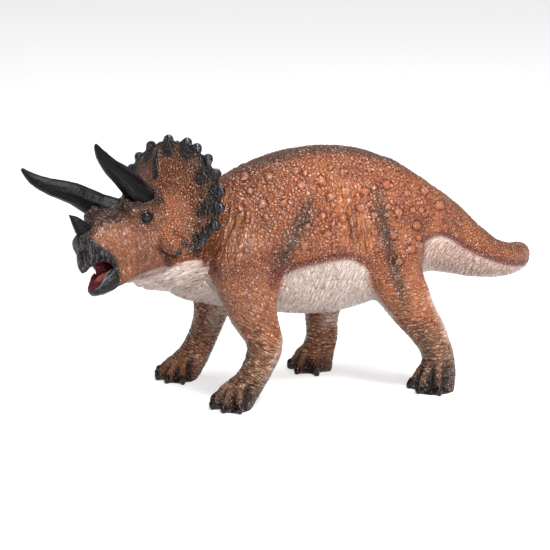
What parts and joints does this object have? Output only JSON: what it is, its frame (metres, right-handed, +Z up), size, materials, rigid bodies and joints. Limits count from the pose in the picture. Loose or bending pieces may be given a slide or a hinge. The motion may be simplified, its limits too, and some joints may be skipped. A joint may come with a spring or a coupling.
{
  "type": "toy dinosaur figure",
  "caption": "Standing horned dinosaur figure with neck frill, open mouth and curved tail, moulded in pieces that plug together and are glued. It rests on its feet.",
  "frame": {"origin": "on the standing surface, under the middle of the figure's overall box", "axes": "+Z up, -X the way the animal walks, -Y its left side"},
  "size_m": [0.2116, 0.0694, 0.1044],
  "materials": {
    "painted_skin": "solid vinyl, hand-painted terracotta with dark washes and cream underside, satin",
    "painted_beak": "solid vinyl, painted near-black with grey streaks, red inside the mouth",
    "painted_horn": "solid vinyl, painted near-black with grey streaks, satin"
  },
  "bodies": {
    "root": {"torso": "painted_skin", "tail": "painted_skin", "foreleg_left": "painted_skin", "foreleg_right": "painted_skin", "hindleg_left": "painted_skin", "hindleg_right": "painted_skin", "head": "painted_skin", "lower_jaw": "painted_beak", "brow_horn_left": "painted_horn", "brow_horn_right": "painted_horn", "nose_horn": "painted_horn"}
  },
  "joints": []
}
